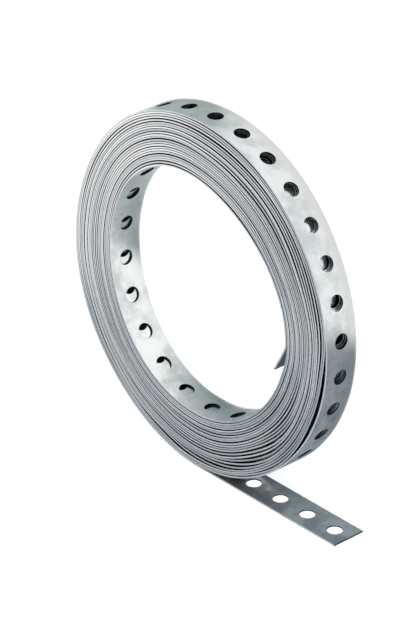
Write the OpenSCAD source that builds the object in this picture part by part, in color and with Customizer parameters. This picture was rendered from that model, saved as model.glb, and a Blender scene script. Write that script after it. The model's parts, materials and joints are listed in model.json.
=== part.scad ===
// Roll of perforated steel strap, lying on one end, with its free end standing on edge beside it.
// The strap is one piece. It winds inwards from the free end, which runs straight off the roll's front:
// round the side away from the tail, across the back, and down the tail's side to the front again.
// Two centres make that spiral out of true arcs: the half away from the tail turns about one,
// and the half on the tail's side turns about another, half a step further back.
// Millimetres, +Z up along the roll's axis. The origin is on the floor, under the box's middle.

/* [Strap] */
// Width of the strap
strap_w = 17; // [12:1:26]
// Thickness of the strap
strap_t = 0.8; // [0.6:0.1:1]
// Diameter of the holes
hole_d = 7; // [4:0.5:9]
// Distance from one hole to the next, along the strap
hole_pitch = 17; // [12:1:24]

/* [Roll] */
// Outer radius of the roll
roll_r = 83; // [65:1:110]
// Number of turns, counted from the bore to the rim on the side away from the tail
turns = 23; // [10:1:26]
// Play between one turn and the next
turn_gap = 0.35; // [0.2:0.05:0.6]
// Depth of the groove that shows between two turns on each end
groove_depth = 0.6; // [0.3:0.1:1.5]
// Angle of one hole in the innermost turn, from the tail's side towards the back
inner_hole_angle = 134; // [110:1:160]

/* [Free ends] */
// Length of the tail, from the line where it leaves the roll
tail_len = 87; // [60:1:120]
// Length of the inner end that stands off the wall of the bore
tongue_len = 16; // [6:1:22]
// Angle at which the inner end stands off the wall
tongue_lean = 22; // [10:1:35]

/* [Hidden] */
$fn = 180;
// From one turn to the next
turn_step = strap_t + turn_gap;
// The half on the tail's side is this much smaller, and its centre this much further back
half_step = turn_step / 2;
tail_side_r = roll_r - half_step;
// How far a hole's cutter stands out of the strap, less than the play so that it cuts one turn only
cut_over = min(0.2, turn_gap * 0.6);
// The free end is cut midway between two holes
end_margin = hole_pitch / 2;
// Inner radius of the innermost turn, on the side away from the tail and on the tail's side
bore_r = inner_radius(roll_r, turns);
tail_side_bore_r = inner_radius(tail_side_r, turns);
// Lengths of the outermost turn's two halves, along the middle of the strap
far_arc = PI * (roll_r - strap_t / 2);
near_arc = PI * (tail_side_r - strap_t / 2);
// Holes along the outermost turn run on from the tail's, so the first is this far past where it leaves
first_arc_hole = hole_pitch - (tail_len - end_margin) % hole_pitch;
tail_holes = [for (x = [tail_len - end_margin : -hole_pitch : hole_d / 2]) x];
far_holes = [for (s = [first_arc_hole : hole_pitch : far_arc]) s];
first_near_hole = far_holes[len(far_holes) - 1] + hole_pitch - far_arc;
near_holes = [for (s = [first_near_hole : hole_pitch : near_arc - hole_d]) s];
// Angle between holes in the bore, and the span near the tongue that holds none
inner_hole_step = degrees(hole_pitch, bore_r + strap_t / 2);
tongue_clear = degrees(hole_d, bore_r);
// How far the part reaches from the roll's axis on the tail's side
tail_side_reach = max(tail_len, tail_side_r);

// Inner radius of n turns whose outermost has the radius r
function inner_radius(r, n) = r - (n - 1) * turn_step - strap_t;

// Angle that an arc of this length takes at the radius r
function degrees(arc, r) = arc / r * 180 / PI;

// The upper end's outline of n turns, from the rim inwards: a land for each turn, a groove between two
function end_outline(r, n) = [
    for (i = [0 : n - 1])
        let (outer = r - i * turn_step, inner = outer - strap_t, groove_z = strap_w - groove_depth)
            each concat(
                [[outer, strap_w], [inner, strap_w]],
                i < n - 1 ? [[inner, groove_z], [outer - turn_step, groove_z]] : []
            )
];

// n wound turns about the axis at centre_y, from one angle to another
module wound(centre_y, r, n, from, to) {
    upper = end_outline(r, n);
    lower = [for (i = [len(upper) - 1 : -1 : 0]) [upper[i].x, strap_w - upper[i].y]];
    translate([0, centre_y, 0])
        rotate([0, 0, from])
            rotate_extrude(angle = to - from)
                polygon(concat(upper, lower));
}

// Cutter for a hole across the roll's axis, from radius r outwards
module hole_at(centre_y, angle, r, depth) {
    translate([0, centre_y, strap_w / 2])
        rotate([0, 0, angle])
            translate([r, 0, 0])
                rotate([0, 90, 0])
                    cylinder(d = hole_d, h = depth);
}

// The turns away from the tail, then the two quarters on its side: the innermost turn stops between them
module turns_wound() {
    wound(0, roll_r, turns, 90, 270);
    wound(half_step, tail_side_r, turns, 0, 90);
    wound(half_step, tail_side_r, turns - 1, -90, 0);
}

// The free end, on edge
module tail() {
    translate([0, -roll_r, 0]) cube([tail_len, strap_t, strap_w]);
}

// The inner end, straight and leaning into the bore from where the innermost turn stops
module tongue() {
    translate([tail_side_bore_r + strap_t, half_step, 0])
        rotate([0, 0, -tongue_lean])
            translate([-strap_t, -tongue_len, 0])
                cube([strap_t, tongue_len, strap_w]);
}

module tail_hole_cutters() {
    for (x = tail_holes)
        translate([x, -roll_r - cut_over, strap_w / 2])
            rotate([-90, 0, 0])
                cylinder(d = hole_d, h = strap_t + 2 * cut_over);
}

// Holes in the outermost turn, each as deep as the strap, with the next turn behind it
module rim_hole_cutters() {
    mid_r = roll_r - strap_t / 2;
    near_mid_r = tail_side_r - strap_t / 2;
    for (s = far_holes)
        hole_at(0, 270 - degrees(s, mid_r), roll_r - strap_t, strap_t + cut_over);
    for (s = near_holes)
        hole_at(half_step, 90 - degrees(s, near_mid_r), tail_side_r - strap_t, strap_t + cut_over);
}

// Holes in the innermost turn, all round the bore
module bore_hole_cutters() {
    first = tongue_clear + (inner_hole_angle - tongue_clear) % inner_hole_step;
    for (a = [first : inner_hole_step : 360 - tongue_clear])
        if (a >= 90 && a <= 270)
            hole_at(0, a, bore_r - cut_over, strap_t + cut_over);
        else if (a < 90)
            hole_at(half_step, a, tail_side_bore_r - cut_over, strap_t + cut_over);
        else
            hole_at(half_step, a, tail_side_bore_r + turn_step - cut_over, strap_t + cut_over);
}

module strap_roll() {
    color([0.72, 0.74, 0.75])
        translate([(roll_r - tail_side_reach) / 2, 0, 0])
            difference() {
                union() {
                    turns_wound();
                    tail();
                    tongue();
                }
                tail_hole_cutters();
                rim_hole_cutters();
                bore_hole_cutters();
            }
}

strap_roll();
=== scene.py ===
"""Looks of the roll of perforated steel strap. One continuous strap is laid along its real path: a free
tail, nearly 23 wound turns with the play seen between them, and an inner end that leans into the bore.
Every hole is cut. Metres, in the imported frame: the roll lies on one end, with its axis along +Z."""

import json
import math

import bpy
import numpy as np
from mathutils import Matrix, Vector


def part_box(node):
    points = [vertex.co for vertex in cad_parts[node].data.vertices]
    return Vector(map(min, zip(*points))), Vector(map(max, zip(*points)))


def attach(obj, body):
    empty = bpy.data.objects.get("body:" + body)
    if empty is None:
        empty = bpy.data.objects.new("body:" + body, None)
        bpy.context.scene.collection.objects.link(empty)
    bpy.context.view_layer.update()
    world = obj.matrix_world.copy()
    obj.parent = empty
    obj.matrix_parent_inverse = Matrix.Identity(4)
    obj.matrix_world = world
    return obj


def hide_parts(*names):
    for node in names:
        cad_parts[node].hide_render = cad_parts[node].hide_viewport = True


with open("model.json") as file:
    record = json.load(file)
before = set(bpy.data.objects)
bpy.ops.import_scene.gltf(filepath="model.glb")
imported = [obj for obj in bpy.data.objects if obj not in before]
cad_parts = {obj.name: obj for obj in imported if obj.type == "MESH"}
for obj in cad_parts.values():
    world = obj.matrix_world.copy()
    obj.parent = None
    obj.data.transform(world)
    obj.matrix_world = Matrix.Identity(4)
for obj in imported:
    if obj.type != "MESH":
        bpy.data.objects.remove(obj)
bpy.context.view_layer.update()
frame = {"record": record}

MM = 0.001
SEED = 23
rng = np.random.default_rng(SEED)

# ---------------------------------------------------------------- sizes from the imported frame
low, high = (Vector(corner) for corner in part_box("strap_roll"))
STRAP_W = high.z - low.z
AXIS_X = low.x + (high.y - low.y) / 2
TAIL_END = high.x - AXIS_X
bores = {m["name"]: m for m in frame["record"]["mounts"] if m["kind"] == "bore"}
HOLE_R = bores["tail_hole_1"]["dims"]["r_mm"] * MM
STRAP_T = bores["tail_hole_1"]["dims"]["length_mm"] * MM
PITCH = bores["tail_hole_1"]["pos_m"][0] - bores["tail_hole_2"]["pos_m"][0]
half_w, half_t = STRAP_W / 2, STRAP_T / 2

# ---------------------------------------------------------------- how the roll lies
# Angles are in degrees about the roll's axis, from +X towards +Y. The tail leaves at 270, and from there
# the strap winds through 180 and 90 to 0, and round again: a turn of winding takes 360 off its angle.
TAIL_ANGLE = 270
# How far the tail's outer face lies from the roll's axis
TAIL_DEPTH = 84.9 * MM
TURNS = 22.75
# Steps in a turn
STEPS = 720
# Mean radius of the rim and of the bore
RIM_R = 82.2 * MM
BORE_R = 56.45 * MM
# (waves a turn, cosine part, sine part) of the rim's and the bore's outlines, in mm: a slack, oval coil
RIM_WAVES = ((2, -1.7, 0.45), (3, 0, 0.2), (4, 0.3, 0.15), (5, 0, -0.25))
BORE_WAVES = ((1, -1.75, -0.65), (2, -0.45, -0.8), (3, 1.05, 0.25), (4, 0.05, 0.2))
# Where turns stand off each other: (gap counted from the rim, middle angle, half the span, play in mm).
# Less than 0 is where they lie closer.
LOOSE = (
    (0, -18, 35, 1.9), (0, -4, 12, 0.5), (0, -66, 18, 0.4), (0, 72, 38, 0.75), (1, 204, 26, 0.3),
    (1, 228, 12, 0.3), (1, -52, 18, 0.4), (2, 199, 16, 0.3), (2, 253, 12, 0.3), (2, -45, 18, 0.25),
    (2, 10, 38, 1.0), (2, 145, 70, 0.36), (2, 84, 30, 0.5), (3, 213, 28, 0.6), (3, 259, 32, 1.1),
    (3, -84, 26, 0.75), (3, -34, 20, 0.3), (3, 20, 40, 0.9), (3, 138, 66, 0.33), (3, 74, 44, 0.65),
    (4, 28, 26, 0.5), (4, 110, 50, 0.25), (5, 33, 22, 0.4), (6, 36, 20, 0.3), (6, 70, 50, -0.3),
    (8, 60, 18, 0.2), (8, 236, 14, 0.3), (9, 66, 50, -0.35), (10, 266, 18, 0.35), (10, 22, 55, 0.15),
    (11, 205, 24, 0.35), (12, 46, 44, 0.5), (13, -28, 40, 0.25), (13, 15, 44, 0.25), (14, 205, 44, 0.4),
    (16, -30, 60, 0.15), (17, 60, 50, -0.4), (18, 225, 50, 0.3), (20, 60, 24, 0.12),
    (20, -140, 110, 0.25), (21, -140, 110, 0.1), (21, 62, 28, 0.5),
    # a fan of gaps, each a little further round than the one outside it
    *((turn, 5.2 * turn - 91, 24, 0.9 - 0.05 * turn) for turn in range(4, 13)),
)
# Play that turns keep where they touch, and where one rests on the next
LEAST_GAP = 0.02 * MM
RESTING_GAP = 0.2 * MM
# The rest of the play is seeded: knots of it in a turn, its least and most as powers of e, and the
# degrees over which it sets in at either end
PLAY_KNOTS = 5
PLAY_LEAST, PLAY_MOST = -1.5, 0.7
PLAY_RISE = 60
# Degrees over which these blend away: the tail's own line, the resting gap after it, and the step of
# one turn at the inner end
TAIL_BLEND, RESTING_BLEND, STEP_BLEND = 50, 40, 20
# The inner end: its length, its lean off the wall in degrees, and the bend in which it turns off
TONGUE_LEN = 16.3 * MM
TONGUE_LEAN = 29
TONGUE_BEND = 4 * MM
# Steps along both free ends
TAIL_PACE = 0.7 * MM
TONGUE_PACE = 0.25 * MM
# How far a turn may stand up over the others, its seeded knots in a turn with their mean and spread,
# and the length from the tail over which that sets in
EDGE_DRIFT = 0.35 * MM
DRIFT_KNOTS = 3
DRIFT_MEAN, DRIFT_SPREAD = 0.5, 0.25
DRIFT_RISE = 60 * MM
# (angle, how far in mm the holes there lie off an even pitch) on the outermost and the innermost turn
RIM_SLIPS = ((270, 0), (98, -1.2), (87, -1.9), (75, -2.4), (52, -2.7), (4, -2.7), (-80, -2.4))
BORE_SLIPS = (
    (310, -2.6), (290, -3.4), (271, -2.9), (254, -2.2), (184, -2.6), (167, -1.3), (134, -0.9), (0, 0),
)
# Where one hole of the innermost turn would be, but for that
INNER_HOLE_ANGLE = 134.1
# The first turns lie tight, with this share of the seeded play. Their holes nearly line up between two
# angles: each turn's lie this far along from those over them, and the last one's lie between them
ALIGNED_TURNS = 3
TIGHT_SHARE = 0.25
ALIGNED_FROM, ALIGNED_TO = 80, -10
HOLE_LAG = -0.55 * MM
# (angle, how far along in mm the holes of the turn behind the innermost one lie there)
HOLE_LEADS = ((290, 7.0), (240, 4.8), (190, 3.7), (130, 3.0))


def outline(angle, mean, waves):
    """Radius at each angle of a ring with these waves on it."""
    a = np.radians(angle)
    return mean + MM * sum(c * np.cos(n * a) + s * np.sin(n * a) for n, c, s in waves)


def smooth_noise(steps, knot):
    """Seeded noise along the winding, smooth between knots this many steps apart."""
    knots = rng.normal(0, 1, steps // knot + 4)
    at = np.arange(steps) / knot
    i = at.astype(int)
    f = at - i
    f = f * f * (3 - 2 * f)
    return knots[i] * (1 - f) + knots[i + 1] * f


def fade(x):
    """1 at 0, falling smoothly to 0 at 1."""
    x = np.clip(x, 0, 1)
    return 1 - x * x * (3 - 2 * x)


def turn_gaps(wound, rim, bore):
    """Gap under the strap at each step of the winding, so that rim and bore come out as they should."""
    loose = np.zeros(len(wound))
    for turn, middle, half, play in LOOSE:
        at = turn * 360 + (TAIL_ANGLE - middle) % 360
        loose += play * MM * fade(np.abs(wound - at) / half)
    near_end = np.minimum(1, np.minimum(wound, wound[-1] - wound) / PLAY_RISE)
    noise = smooth_noise(len(wound), STEPS // PLAY_KNOTS)
    share = np.exp(np.clip(noise, PLAY_LEAST, PLAY_MOST) * near_end)
    share *= 1 - (1 - TIGHT_SHARE) * fade(wound / 360 - (ALIGNED_TURNS - 0.5))

    # whatever play the loose places leave is shared out between the other gaps at that angle
    count = math.ceil(len(wound) / STEPS)

    def summed(values):
        return np.pad(values, (0, count * STEPS - len(values))).reshape(count, STEPS).sum(0)

    left = rim[:STEPS] - bore[:STEPS] - (summed(np.ones(len(wound))) + 1) * STRAP_T - summed(loose)
    gap = loose + np.tile(left / summed(share), count)[: len(wound)] * share
    gap += (RESTING_GAP - gap[0]) * fade(wound / RESTING_BLEND)
    return np.maximum(gap, LEAST_GAP)


def wound_radius():
    """Degrees wound and the strap's outer radius, at each step from the tail inwards."""
    total = round(TURNS * STEPS)
    wound = np.arange(total + 1) * (360 / STEPS)
    first = wound[: STEPS + 1]
    rim = outline(TAIL_ANGLE - first, RIM_R, RIM_WAVES)
    # the first turn starts in line with the tail, and ends resting under its own start
    start = TAIL_DEPTH - rim[0]
    end = TAIL_DEPTH - STRAP_T - RESTING_GAP - rim[-1]
    rim += start * fade(first / TAIL_BLEND) + end * fade((360 - first) / TAIL_BLEND)
    bore = outline(TAIL_ANGLE - first, BORE_R, BORE_WAVES)
    # the bore steps out by one turn where the inner end leaves it
    past_end = first - wound[-1] % 360
    bore += np.where(past_end >= 0, (STRAP_T + RESTING_GAP) * fade(past_end / STEP_BLEND), 0)
    gap = turn_gaps(wound[: total - STEPS], rim, bore)
    radius = np.empty(total + 1)
    radius[: STEPS + 1] = rim
    for j in range(STEPS + 1, total + 1):
        radius[j] = radius[j - STEPS] - STRAP_T - gap[j - STEPS - 1]
    return wound, radius


class StrapPath:
    """The strap's middle line, from the free end to the inner end. Its own coordinates are the length
    along it, how far down across it from its middle, and how far outwards off its middle."""

    def __init__(self):
        wound, radius = wound_radius()
        angle = np.radians(TAIL_ANGLE - wound)
        mid = radius - half_t
        coil = np.stack([mid * np.cos(angle), mid * np.sin(angle)], 1)
        tail_x = np.arange(TAIL_END, 0, -TAIL_PACE)
        tail = np.stack([tail_x, np.full(len(tail_x), half_t - TAIL_DEPTH)], 1)
        line = np.concatenate([tail, coil, self.tongue(coil)])
        self.s = np.concatenate([[0], np.cumsum(np.hypot(*np.diff(line, axis=0).T))])
        self.length = float(self.s[-1])
        self.x, self.y = line[:, 0] + AXIS_X, line[:, 1]
        tx, ty = np.gradient(self.x, self.s), np.gradient(self.y, self.s)
        norm = np.hypot(tx, ty)
        self.tx, self.ty = tx / norm, ty / norm
        self.wound, self.wound_s = wound, self.s[len(tail): len(tail) + len(wound)]
        drift = DRIFT_MEAN + DRIFT_SPREAD * smooth_noise(len(line), STEPS // DRIFT_KNOTS)
        risen = 1 - fade((self.s - self.wound_s[0]) / DRIFT_RISE)
        self.up = np.clip(drift, 0, 1) * EDGE_DRIFT * risen

    @staticmethod
    def tongue(coil):
        """The inner end: it turns off the wall through a short bend, then runs straight."""
        step = coil[-1] - coil[-2]
        heading = math.atan2(step[1], step[0])
        at, points = coil[-1], []
        for i in range(1, round(TONGUE_LEN / TONGUE_PACE) + 1):
            bent = heading - math.radians(TONGUE_LEAN) * min(1, i * TONGUE_PACE / TONGUE_BEND)
            at = at + TONGUE_PACE * np.array([math.cos(bent), math.sin(bent)])
            points.append(at)
        return np.array(points)

    def length_at(self, wound):
        return float(np.interp(wound, self.wound, self.wound_s))

    def wound_at(self, s):
        return float(np.interp(s, self.wound_s, self.wound))

    def points(self, s, down, off):
        x, y, up, tx, ty = (np.interp(s, self.s, v) for v in (self.x, self.y, self.up, self.tx, self.ty))
        return np.stack([x - off * ty, y + off * tx, half_w - down + up], 1)

    def directions(self, s, v):
        tx, ty = np.interp(s, self.s, self.tx), np.interp(s, self.s, self.ty)
        return np.stack([v[:, 0] * tx - v[:, 2] * ty, v[:, 0] * ty + v[:, 2] * tx, -v[:, 1]], 1)


path = StrapPath()
# Degrees wound where the innermost turn starts
LAST_TURN = path.wound[-1] - 360


def nearest(value, to):
    """The value nearest to the other that is a whole number of pitches away from this one."""
    return to + (value - to + PITCH / 2) % PITCH - PITCH / 2


def hole_slips():
    """How far the holes are off an even pitch: (degrees wound, slip). Most of it is under other turns."""
    slips = [(TAIL_ANGLE - angle, slip * MM) for angle, slip in RIM_SLIPS]
    slip = slips[-1][1]
    first_turn = np.array(slips).T
    for turn in range(1, ALIGNED_TURNS + 1):
        lag = turn * HOLE_LAG if turn < ALIGNED_TURNS else PITCH / 2
        for angle in (ALIGNED_FROM, ALIGNED_TO):
            at = TAIL_ANGLE - angle
            over = float(np.interp(at, *first_turn))
            turned = path.length_at(at + 360 * turn) - path.length_at(at)
            slip = nearest(over + turned + lag, slip)
            slips.append((at + 360 * turn, slip))
    hole = path.length_at(LAST_TURN + 360 - INNER_HOLE_ANGLE)
    inner = nearest(hole - PITCH / 2, slip)
    last = [(LAST_TURN + 360 - angle, inner + slip * MM) for angle, slip in BORE_SLIPS]
    slip = inner
    for angle, lead in HOLE_LEADS:
        at = LAST_TURN + 360 - angle
        here = float(np.interp(at, *np.array(last).T))
        turned = path.length_at(at - 360) - path.length_at(at)
        slip = nearest(here + turned + lead * MM, slip)
        slips.append((at - 360, slip))
    return np.array([*slips, *last])


# The strap runs on at least this far past its last whole pitch
LEAST_END = 2 * MM


def cell_ends():
    """Lengths along the strap between which each hole lies midway."""
    wound, slip = hole_slips().T
    even = np.arange(0, path.length, PITCH)
    ends = even + np.interp(even, [path.length_at(w) for w in wound], slip)
    return ends[ends < path.length - LEAST_END]


# ---------------------------------------------------------------- the strap's mesh
# Chamfer of the long edges, and of the holes' rims
EDGE = 0.12 * MM
RIM = 0.12 * MM
# Faces across the strap
CROSS = 4
across = np.linspace(-(half_w - EDGE), half_w - EDGE, CROSS + 1)
# One section of the strap, all the way round: the outer face, an edge, the inner face, the other edge
SECTION = [(d, half_t) for d in across] + [(half_w, half_t - EDGE), (half_w, -half_t + EDGE)]
SECTION += [(d, -half_t) for d in across[::-1]] + [(-half_w, -half_t + EDGE), (-half_w, half_t - EDGE)]
SECTION = np.array(SECTION)
RING = len(SECTION)
# Places in it: the outer face's two corners, and the inner face's two
OUT_0, OUT_1, IN_1, IN_0 = 0, CROSS, CROSS + 3, 2 * CROSS + 3
OUT, IN, DOWN, UP = (0, 0, 1), (0, 0, -1), (0, 1, 0), (0, -1, 0)
# The normal at both ends of each of the section's sides
SIDE_NORMALS = [(OUT, OUT)] * CROSS + [(OUT, DOWN), (DOWN, DOWN), (DOWN, IN)]
SIDE_NORMALS += [(IN, IN)] * CROSS + [(IN, UP), (UP, UP), (UP, OUT)]
# How finely a hole's pitch is cut: (steps along each edge, rings between edge and hole, hole's rim broken)
FINE = (16, (0.45,), True)
MEDIUM = (12, (), True)
COARSE = (5, (), False)
# Degrees wound up to which the holes are cut finely and less finely, and those from which they are again
FINE_TO, MEDIUM_TO = 380, 3 * 360
FINE_FROM, MEDIUM_FROM = LAST_TURN - 20, LAST_TURN - 360
# Length of a plain piece past the last hole
PLAIN_STEP = 1.5 * MM


class StrapMesh:
    """Vertices and faces in the strap's own coordinates, with a normal at each corner of each face."""

    def __init__(self, room=400_000):
        self.store = np.empty((room, 3))
        self.count = 0
        self.faces, self.normals = [], []

    def add(self, points):
        first = self.count
        self.count += len(points)
        self.store[first: self.count] = points
        return list(range(first, self.count))

    def quad(self, corners, normals):
        self.faces.append(corners)
        self.normals.append(normals)

    def section(self, s):
        return self.add(np.column_stack([np.full(RING, s), SECTION]))

    def band(self, a, b, normals_a, normals_b, forward=True):
        """Quads between two closed loops of as many points."""
        for i in range(len(a)):
            j = (i + 1) % len(a)
            corners = (a[i], a[j], b[j], b[i])
            normals = (normals_a[i], normals_a[j], normals_b[j], normals_b[i])
            if not forward:
                corners, normals = corners[::-1], normals[::-1]
            self.quad(corners, normals)

    def plain_stretch(self, left, right):
        """Joins two sections by plain faces."""
        for i in range(RING):
            j = (i + 1) % RING
            n0, n1 = SIDE_NORMALS[i]
            self.quad((left[i], right[i], right[j], left[j]), (n0, n0, n1, n1))

    def cap(self, section, at_end):
        """Closes an end of the strap: quads across its thickness."""
        normal = ((1 if at_end else -1), 0, 0)
        rows = [(section[RING - 1], section[RING - 2])]
        rows += [(section[i], section[IN_0 - i]) for i in range(CROSS + 1)]
        rows += [(section[CROSS + 1], section[CROSS + 2])]
        for (a, b), (c, d) in zip(rows, rows[1:]):
            corners = (a, b, d, c)
            self.quad(corners[::-1] if at_end else corners, [normal] * 4)

    def holed_cell(self, left, right, s0, s1, along, rings, broken):
        """The strap between two sections, with a hole midway."""
        steps = np.linspace(s0, s1, along + 1)[1:-1]
        edge_sides = [*range(OUT_1, IN_1), *range(IN_0, RING)]
        rails = {}
        for i in {OUT_0, IN_1, *edge_sides}:
            inner = self.add(np.column_stack([steps, np.tile(SECTION[i], (len(steps), 1))]))
            rails[i] = [left[i], *inner, right[i]]
        # both long edges: a chamfer, the slit edge and a chamfer
        for i in edge_sides:
            j = (i + 1) % RING
            n0, n1 = SIDE_NORMALS[i]
            for k in range(along):
                corners = (rails[i][k], rails[i][k + 1], rails[j][k + 1], rails[j][k])
                self.quad(corners, (n0, n0, n1, n1))
        # the loop round each face: along one edge, across one section, back, and across the other
        outer = rails[OUT_0][:-1] + right[:OUT_1] + rails[OUT_1][:0:-1] + left[OUT_1: 0: -1]
        inner = rails[IN_0][:-1] + right[IN_0: IN_1: -1] + rails[IN_1][:0:-1] + left[IN_1: IN_0]
        count = len(outer)
        angle = -math.pi / 2 + (np.arange(count) - along / 2) * (2 * math.pi / count)
        circle = np.column_stack([np.cos(angle), np.sin(angle)])
        wall = [(-c, -s, 0) for c, s in circle]
        middle = np.array(((s0 + s1) / 2, 0))
        lips = []
        for loop, off, up in ((outer, half_t, OUT), (inner, -half_t, IN)):
            facing = [up] * count
            border = self.store[loop][:, :2] - middle
            mouth = circle * (HOLE_R + (RIM if broken else 0))
            shells = [loop]
            for share in (*rings, 0):
                ring = border * share + mouth * (1 - share) + middle
                shells.append(self.add(np.column_stack([ring, np.full(count, off)])))
            for a, b in zip(shells, shells[1:]):
                self.band(a, b, facing, facing, off > 0)
            lip = shells[-1]
            if broken:
                depth = np.full(count, off - math.copysign(RIM, off))
                lip = self.add(np.column_stack([circle * HOLE_R + middle, depth]))
                self.band(shells[-1], lip, facing, wall, off > 0)
            lips.append(lip)
        self.band(*lips, wall, wall)


def strap_mesh():
    mesh = StrapMesh()
    ends = cell_ends()
    here = mesh.section(ends[0])
    mesh.cap(here, False)
    for s0, s1 in zip(ends, ends[1:]):
        there = mesh.section(s1)
        wound = path.wound_at((s0 + s1) / 2)
        if wound < FINE_TO or wound > FINE_FROM:
            detail = FINE
        elif wound < MEDIUM_TO or wound > MEDIUM_FROM:
            detail = MEDIUM
        else:
            detail = COARSE
        mesh.holed_cell(here, there, s0, s1, *detail)
        here = there
    pieces = math.ceil((path.length - ends[-1]) / PLAIN_STEP)
    for s in np.linspace(ends[-1], path.length, pieces + 1)[1:]:
        there = mesh.section(s)
        mesh.plain_stretch(here, there)
        here = there
    mesh.cap(here, True)
    return mesh


def build_strap():
    mesh = strap_mesh()
    local = mesh.store[: mesh.count]
    faces = np.array(mesh.faces)
    normals = np.array(mesh.normals, float).reshape(-1, 3)
    data = bpy.data.meshes.new("strap")
    data.from_pydata(path.points(*local.T).tolist(), [], faces.tolist())
    data.polygons.foreach_set("use_smooth", [True] * len(data.polygons))
    data.normals_split_custom_set(path.directions(local[faces.ravel(), 0], normals).tolist())
    coords = data.attributes.new("strap_coords", "FLOAT_VECTOR", "POINT")
    coords.data.foreach_set("vector", local.astype(np.float32).ravel())
    made = bpy.data.objects.new("strap", data)
    bpy.context.scene.collection.objects.link(made)
    return made


strap = build_strap()
print("strap", round(path.length, 3), "m,", 2 * len(strap.data.polygons), "triangles")

# ---------------------------------------------------------------- galvanised steel


class Nodes:
    """Makes and joins a material's nodes."""

    def __init__(self, name):
        self.material = bpy.data.materials.new(name)
        self.material.use_nodes = True
        self.tree = self.material.node_tree
        self.shader = self.tree.nodes["Principled BSDF"]

    def set(self, socket, value):
        if isinstance(value, bpy.types.NodeSocket):
            self.tree.links.new(value, socket)
        elif isinstance(value, tuple) and socket.type == "RGBA":
            socket.default_value = (*value, 1)
        else:
            socket.default_value = value

    def node(self, kind, inputs=None, **settings):
        made = self.tree.nodes.new(kind)
        for key, value in settings.items():
            setattr(made, key, value)
        for key, value in (inputs or {}).items():
            self.set(made.inputs[key], value)
        return made

    def noise(self, source, scale, detail, roughness=0.5):
        values = {"Vector": source, "Scale": scale, "Detail": detail, "Roughness": roughness}
        return self.node("ShaderNodeTexNoise", values).outputs["Fac"]

    def ramp(self, source, low_at, high_at, low_to=0.0, high_to=1.0):
        values = {
            "Value": source, "From Min": low_at, "From Max": high_at, "To Min": low_to, "To Max": high_to,
        }
        made = self.node("ShaderNodeMapRange", values, interpolation_type="SMOOTHSTEP")
        return made.outputs["Result"]

    def math(self, operation, *values):
        made = self.node("ShaderNodeMath", operation=operation)
        for socket, value in zip(made.inputs, values):
            self.set(socket, value)
        return made.outputs[0]

    def mix(self, factor, a, b):
        made = self.node("ShaderNodeMix", data_type="RGBA")
        rgba = [socket for socket in made.inputs if socket.type == "RGBA"]
        for socket, value in zip((made.inputs[0], *rgba), (factor, a, b)):
            self.set(socket, value)
        return next(socket for socket in made.outputs if socket.type == "RGBA")


# The faces: clean zinc, its stains, its band along one edge, its blotches, and painted shade where turns
# cover it
ZINC = (0.81, 0.83, 0.83)
ZINC_STAIN = (0.62, 0.655, 0.655)
ZINC_WARM = (0.75, 0.74, 0.72)
ZINC_DULL = (0.46, 0.49, 0.53)
COVERED_SHADE = (0.135, 0.175, 0.225)
# The slit edges at their brightest, a painted highlight, and greyest, the chamfer of a hole, and its wall
# painted near black as shade
SLIT_HIGHLIGHT = (0.96, 0.975, 0.99)
SLIT_GREY = (0.63, 0.66, 0.685)
LIP = (0.42, 0.44, 0.47)
HOLE_WALL_SHADE = (0.018, 0.023, 0.032)
# Noises: scale, detail, and roughness where it isn't 0.5
STAINS = (75.0, 4.0, 0.65)
CLOUD = (22.0, 4.0, 0.6)
ROLLING_LINES = (2600.0, 3.0)
TURN_TONE = (7.0, 3.0)
SPANGLE_SCALE = 420.0
# How much the rolling lines are drawn out along the strap
DRAWN_OUT = 0.06
# Metres from the free end over which the looks of the outermost stretch end, and those of the tail
OUTERMOST_END = (1.5, 1.6)
TAIL_WEAR_END = (0.07, 0.11)
# Degrees wound: the quarter turn after the tail with a painted highlight on its end face, the worn stretch
# where the outermost turn ends, the turn behind its last holes, painted dark as shade, and the turn behind
# the bore's holes
HIGHLIGHT_QUARTER = (2, 95)
WORN = (268, 400)
BEHIND_RIM = (640, 725)
BEHIND_BORE = (LAST_TURN - 345, LAST_TURN - 5)
# Degrees wound from which the inner face is painted dark as shade between the turns, the outer face has
# its margin painted dark as shade, and the turns that show in the rim's holes are smooth
INSIDE_FROM = 12
MARGIN_FROM = 355
SMOOTH_FROM = 365


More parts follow.
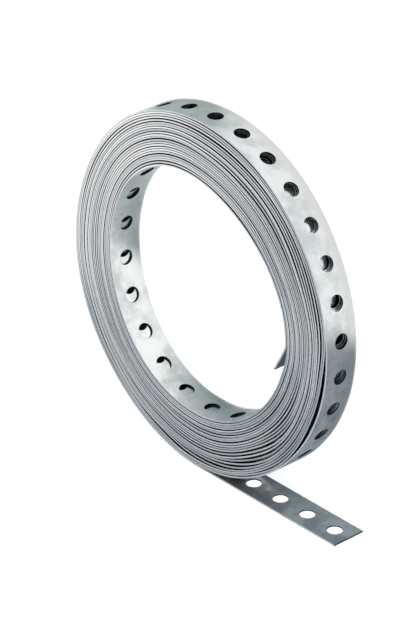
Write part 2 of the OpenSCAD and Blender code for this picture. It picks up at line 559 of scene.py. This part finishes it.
def galvanised_steel():
    """Bright zinc with a faint spangle, soft stains and rolling marks. Its slit edges are bare steel, some
    turns' edges brighter as a painted highlight; its hole walls are painted near black, and faces between
    turns painted dark, as shade."""
    m = Nodes("galvanised_steel")
    coords = m.node("ShaderNodeAttribute", attribute_name="strap_coords").outputs["Vector"]
    drawn_out = m.node("ShaderNodeVectorMath", {0: coords, 1: (DRAWN_OUT, 1, 1)}, operation="MULTIPLY")
    rolled = drawn_out.outputs["Vector"]
    parts = m.node("ShaderNodeSeparateXYZ", {"Vector": coords})
    off_edge = m.math("SUBTRACT", half_w, m.math("ABSOLUTE", parts.outputs["Y"]))
    off_face = m.math("SUBTRACT", half_t, m.math("ABSOLUTE", parts.outputs["Z"]))
    slit = m.ramp(off_edge, 0.4 * EDGE, 1.1 * EDGE, 1.0, 0.0)
    cut = m.ramp(off_face, 0.1 * RIM, 0.4 * RIM)
    lip = m.math("MULTIPLY", cut, m.ramp(off_face, 0.8 * RIM, 1.3 * RIM, 1.0, 0.0))

    def between(first, last):
        """1 on the strap from one amount of winding to another."""
        rises = []
        for wound in (first, last):
            s = path.length_at(wound) if wound < LAST_TURN + 360 else path.length + 0.1
            rises.append(m.ramp(parts.outputs["X"], s - 5 * MM, s + 5 * MM))
        return m.math("SUBTRACT", *rises)

    outermost = m.ramp(parts.outputs["X"], *OUTERMOST_END, 1.0, 0.0)
    # what shows in the rim's holes and in the bore's keeps the zinc's colour, but for a margin along its
    # edges painted dark as shade
    outer_face = m.ramp(parts.outputs["Z"], -0.1 * MM, 0.1 * MM)
    clean = (ALIGNED_TURNS + 1) * 360
    margin = m.ramp(off_edge, half_w - HOLE_R - 1.2 * MM, half_w - HOLE_R - 0.6 * MM, 1.0, 0.0)
    # faces that lie under other turns, painted dark as shade between the turns
    outside = m.math("ADD", between(*BEHIND_RIM), between(clean, LAST_TURN + 720))
    outside = m.math("MAXIMUM", outside, m.math("MULTIPLY", margin, between(MARGIN_FROM, clean)))
    inside = between(INSIDE_FROM, LAST_TURN - 360)
    covered = m.math("ADD", m.math("MULTIPLY", outer_face, m.math("SUBTRACT", outside, inside)), inside)

    spangle = m.node("ShaderNodeTexVoronoi", {"Vector": coords, "Scale": SPANGLE_SCALE}, feature="F1")
    crystal = m.node("ShaderNodeSeparateColor", {"Color": spangle.outputs["Color"]})
    stains = m.noise(coords, *STAINS)
    cloud = m.noise(coords, *CLOUD)
    lines = m.noise(rolled, *ROLLING_LINES)
    colour = m.mix(m.ramp(stains, 0.40, 0.62), ZINC, ZINC_STAIN)
    # a band along one edge, and blotches on the worn stretches
    band = m.ramp(parts.outputs["Y"], 1.5 * MM, 6.5 * MM)
    band = m.math("MULTIPLY", band, m.ramp(cloud, 0.36, 0.56, 0.25, 1.0))
    band = m.math("MULTIPLY", band, outermost)
    colour = m.mix(band, colour, ZINC_WARM)
    blotches = m.math("MULTIPLY", m.ramp(stains, 0.44, 0.62), m.ramp(cloud, 0.35, 0.6, 0.3, 1.0))
    worn = m.math("ADD", m.ramp(parts.outputs["X"], *TAIL_WEAR_END, 1.0, 0.0), between(*WORN))
    colour = m.mix(m.math("MULTIPLY", blotches, worn), colour, ZINC_DULL)
    # painted shade on the faces between the turns
    colour = m.mix(covered, colour, COVERED_SHADE)
    # the hole walls, painted near black as shade inside the holes
    colour = m.mix(cut, colour, HOLE_WALL_SHADE)
    colour = m.mix(m.math("MULTIPLY", lip, outermost), colour, LIP)
    # slit edges brighter on some turns at random, a painted highlight where edges catch the light
    turn_tone = m.ramp(m.noise(coords, *TURN_TONE), 0.38, 0.62)
    turn_tone = m.math("MAXIMUM", turn_tone, between(*HIGHLIGHT_QUARTER))
    colour = m.mix(slit, colour, m.mix(turn_tone, SLIT_GREY, SLIT_HIGHLIGHT))
    m.set(m.shader.inputs["Base Color"], colour)
    m.shader.inputs["Metallic"].default_value = 1
    # roughness varies with each of these, and is least on the turns that show in the holes
    rough = m.math("ADD", 0.27, m.math("MULTIPLY", crystal.outputs["Red"], 0.10))
    rough = m.math("ADD", rough, m.ramp(stains, 0.4, 0.65, 0.0, 0.12))
    rough = m.math("ADD", rough, m.ramp(lines, 0.3, 0.7, -0.02, 0.04))
    rough = m.math("SUBTRACT", rough, m.math("MULTIPLY", between(*BEHIND_BORE), 0.16))
    rough = m.math("SUBTRACT", rough, m.math("MULTIPLY", between(SMOOTH_FROM, clean), 0.2))
    rough = m.math("SUBTRACT", rough, m.math("MULTIPLY", slit, 0.08))
    m.set(m.shader.inputs["Roughness"], rough)
    height = m.math("ADD", m.math("MULTIPLY", lines, 0.6), m.math("MULTIPLY", stains, 2.0))
    height = m.math("ADD", height, m.math("MULTIPLY", crystal.outputs["Green"], 0.35))
    bump = m.node("ShaderNodeBump", {"Height": height, "Strength": 0.3, "Distance": 0.03 * MM})
    m.set(m.shader.inputs["Normal"], bump.outputs["Normal"])
    return m.material


strap.data.materials.append(galvanised_steel())
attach(strap, "root")
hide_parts("strap_roll")

# ---------------------------------------------------------------- studio
SKY = (0.9, 0.95, 1.0)
SKY_LEVEL = 0.55
# The floor's half width, its grey, and the light that lifts it where it is seen
FLOOR_HALF = 3.0
FLOOR_GREY = 0.45
FLOOR_LIFT = 0.78
# The cards on the floor: points round them, their height, and how wide their near band of painted shade is
RING_POINTS = 360
RING_HEIGHT = 0.3 * MM
RING_NEAR = 7 * MM
# The powers of a grey that make its red, green and blue on a card
CARD_TINT = (1.09, 1.0, 0.92)


def seen(tree):
    """1 where the camera, metal or glass looks, and 0 where light is gathered."""
    path_node = tree.nodes.new("ShaderNodeLightPath")
    total = path_node.outputs["Is Camera Ray"]
    for ray in ("Is Glossy Ray", "Is Transmission Ray"):
        either = tree.nodes.new("ShaderNodeMath")
        either.operation = "MAXIMUM"
        tree.links.new(total, either.inputs[0])
        tree.links.new(path_node.outputs[ray], either.inputs[1])
        total = either.outputs[0]
    return total


def staged(name, points, faces, material):
    data = bpy.data.meshes.new(name)
    data.from_pydata(points, [], faces)
    data.materials.append(material)
    made = bpy.data.objects.new(name, data)
    bpy.context.scene.collection.objects.link(made)
    return made


def light_world():
    world = bpy.data.worlds.new("studio")
    bpy.context.scene.world = world
    world.use_nodes = True
    tree = world.node_tree
    sky = tree.nodes["Background"]
    sky.inputs["Color"].default_value = (*SKY, 1)
    sky.inputs["Strength"].default_value = SKY_LEVEL
    white = tree.nodes.new("ShaderNodeBackground")
    white.inputs["Color"].default_value = (1, 1, 1, 1)
    blend = tree.nodes.new("ShaderNodeMixShader")
    for source, socket in zip((seen(tree), sky.outputs[0], white.outputs[0]), blend.inputs):
        tree.links.new(source, socket)
    tree.links.new(blend.outputs[0], tree.nodes["World Output"].inputs["Surface"])


def lay_floor():
    """A pale floor that is lifted to white where it is seen, and keeps the roll's shadow."""
    m = Nodes("floor")
    m.set(m.shader.inputs["Base Color"], (FLOOR_GREY, FLOOR_GREY, FLOOR_GREY))
    m.shader.inputs["Roughness"].default_value = 0.9
    m.shader.inputs["Specular IOR Level"].default_value = 0
    m.shader.inputs["Emission Color"].default_value = (1, 1, 1, 1)
    m.set(m.shader.inputs["Emission Strength"], m.math("MULTIPLY", seen(m.tree), FLOOR_LIFT))
    f = FLOOR_HALF
    staged("floor", [(-f, -f, 0), (f, -f, 0), (f, f, 0), (-f, f, 0)], [(0, 1, 2, 3)], m.material)


def only_in_metal(made):
    """Leaves a card out of everything but reflections."""
    made.visible_camera = False
    made.visible_diffuse = False
    made.visible_shadow = False
    made.visible_transmission = False


def glow_material(name):
    """Plain light of the mesh's own colours."""
    m = Nodes(name)
    m.set(m.shader.inputs["Base Color"], (0, 0, 0))
    m.shader.inputs["Roughness"].default_value = 1
    m.shader.inputs["Specular IOR Level"].default_value = 0
    m.shader.inputs["Emission Strength"].default_value = 1
    glow = m.node("ShaderNodeAttribute", attribute_name="glow").outputs["Color"]
    m.set(m.shader.inputs["Emission Color"], glow)
    return m.material


def ground_ring(name, edge, reach, near_shade, levels):
    """A graded card on the floor, from the roll's outline outwards or inwards: (angle, its colour there).
    It glows only in reflections, as a painted reflection of the floor, dark where that floor lies in
    shade; close to the roll it is darker, as painted shade."""
    count = RING_POINTS
    angles = np.arange(count) * (360 / count)
    at = [a for a, _ in levels]
    keys = np.array([colour for _, colour in levels])
    glow = np.column_stack([np.interp(angles, at, keys[:, c], period=360) for c in range(3)])
    a = np.radians(angles)
    start = outline(angles, *edge)
    rings = [start, start + math.copysign(RING_NEAR, reach), start + reach]
    points = np.concatenate([
        np.column_stack([AXIS_X + r * np.cos(a), r * np.sin(a), np.full(count, RING_HEIGHT)])
        for r in rings
    ])
    faces = [
        (k + i, k + count + i, k + count + (i + 1) % count, k + (i + 1) % count)
        for k in (0, count) for i in range(count)
    ]
    made = staged(name, points.tolist(), faces, glow_material(name))
    colours = made.data.attributes.new("glow", "FLOAT_COLOR", "POINT")
    # the band next to the roll is darker, as painted shade
    rgb = np.concatenate([glow * near_shade, glow, glow])
    colours.data.foreach_set("color", np.insert(rgb, 3, 1, 1).astype(np.float32).ravel())
    only_in_metal(made)


def card(name, at, target, size, levels):
    """A square card that faces the target and shows only in metal, as a studio's grey side does. Its
    greys are given in rows, from its own corner at -X and +Y."""
    count = len(levels)
    steps = np.linspace(-size / 2, size / 2, count)
    points = [(x, -y, 0) for y in steps for x in steps]
    faces = [
        (k, k + count, k + count + 1, k + 1)
        for row in range(count - 1) for k in range(row * count, row * count + count - 1)
    ]
    made = staged(name, points, faces, glow_material(name))
    colours = made.data.attributes.new("glow", "FLOAT_COLOR", "POINT")
    tint = np.ravel(levels)[:, None] ** CARD_TINT
    colours.data.foreach_set("color", np.insert(tint, 3, 1, 1).astype(np.float32).ravel())
    facing = (target - at).normalized()
    right = facing.cross(Vector((0, 1, 0))).normalized()
    made.location = at
    made.rotation_euler = Matrix((right, right.cross(facing), -facing)).transposed().to_euler()
    only_in_metal(made)


def lamp(name, at, target, size, power):
    data = bpy.data.lights.new(name, "AREA")
    data.size = size
    data.energy = power
    made = bpy.data.objects.new(name, data)
    made.location = at
    made.rotation_euler = (at - target).to_track_quat("Z", "Y").to_euler()
    bpy.context.scene.collection.objects.link(made)


centre = Vector((AXIS_X, 0, half_w))
WHITE = (1.0, 1.03, 1.02)
GREY_GREEN = (0.44, 0.51, 0.50)
GREY_BLUE = (0.27, 0.31, 0.335)
DARK = (0.015, 0.02, 0.03)
# How far the cards on the floor keep off the roll, and how far they reach
RIM_CLEAR, RIM_REACH = 0.4 * MM, 0.18
BORE_CLEAR, BORE_REACH = 0.6 * MM, 0.04
# Directions from the roll: to the sky card, which its upper end mirrors, and to the front card, which
# faces that turn to the camera do. The low card tones those that turn down the picture.
TO_SKY = Vector((-0.652, -0.479, 0.585))
TO_FRONT = Vector((0.654, 0.479, 0.585))
light_world()
lay_floor()
ground_ring("card_round", (RIM_R + RIM_CLEAR, RIM_WAVES), RIM_REACH, 0.9, (
    (-95, DARK), (-76, (0.04, 0.055, 0.075)), (-64, (0.17, 0.215, 0.25)), (-48, (0.30, 0.355, 0.385)),
    (-35, GREY_BLUE), (-1, GREY_BLUE), (8, WHITE), (79, WHITE), (87, (0.84, 0.9, 0.89)),
    (96, GREY_GREEN), (118, GREY_GREEN), (132, (0.85, 0.87, 0.88)), (180, (0.7, 0.72, 0.73)),
    (230, (0.5, 0.53, 0.55)),
))
ground_ring("card_bore", (BORE_R - BORE_CLEAR, BORE_WAVES), -BORE_REACH, 0.85, (
    (122, (0.72, 0.76, 0.77)), (150, (0.50, 0.55, 0.56)), (185, (0.37, 0.43, 0.44)),
    (194, (1.15, 1.16, 1.15)), (228, (1.2, 1.2, 1.19)), (252, (0.38, 0.45, 0.46)),
    (268, (0.24, 0.30, 0.32)), (290, (0.4, 0.44, 0.45)), (30, (0.8, 0.8, 0.8)),
))
card("card_sky", centre + TO_SKY * 0.26, centre, 0.36, (
    (2.1, 1.3, 0.4),
    (0.85, 0.5, 0.45),
    (0.15, 0.4, 0.45),
))
card("card_front", centre + TO_FRONT * 0.9, centre, 0.7, ((0.25, 0.25), (0.25, 0.25)))
card("card_low", centre + Vector((-0.06, -0.30, 0.05)), centre, 0.3, ((0.2, 0.2), (0.2, 0.2)))
lamp("key", centre + Vector((1.3, 1.2, 1.3)), centre, 1.2, 9)
lamp("fill", centre + Vector((1.1, -0.9, 1.8)), centre, 1.6, 9)

# ---------------------------------------------------------------- camera
# It looks at the roll's upper end from the tail's side, with the picture's up along +Y. The azimuth turns
# from the roll's axis towards +X, and the elevation rises from there towards +Y.
AZIMUTH = math.radians(48.2)
ELEVATION = math.radians(28.65)
DISTANCE = 1.448
SENSOR, LENS = 36, 195.2
# Where it aims, from the roll's middle
AIM = Vector((-1.2, -10.0, 0)) * MM


def place_camera():
    level = math.cos(ELEVATION)
    back = Vector((math.sin(AZIMUTH) * level, math.sin(ELEVATION), math.cos(AZIMUTH) * level))
    right = Vector((0, 1, 0)).cross(back).normalized()
    data = bpy.data.cameras.new("camera")
    data.sensor_width = SENSOR
    data.lens = LENS
    camera = bpy.data.objects.new("camera", data)
    camera.location = centre + AIM + back * DISTANCE
    camera.rotation_euler = Matrix((right, back.cross(right), back)).transposed().to_euler()
    bpy.context.scene.collection.objects.link(camera)
    bpy.context.scene.camera = camera
    bpy.context.scene.view_settings.view_transform = "Standard"


place_camera()
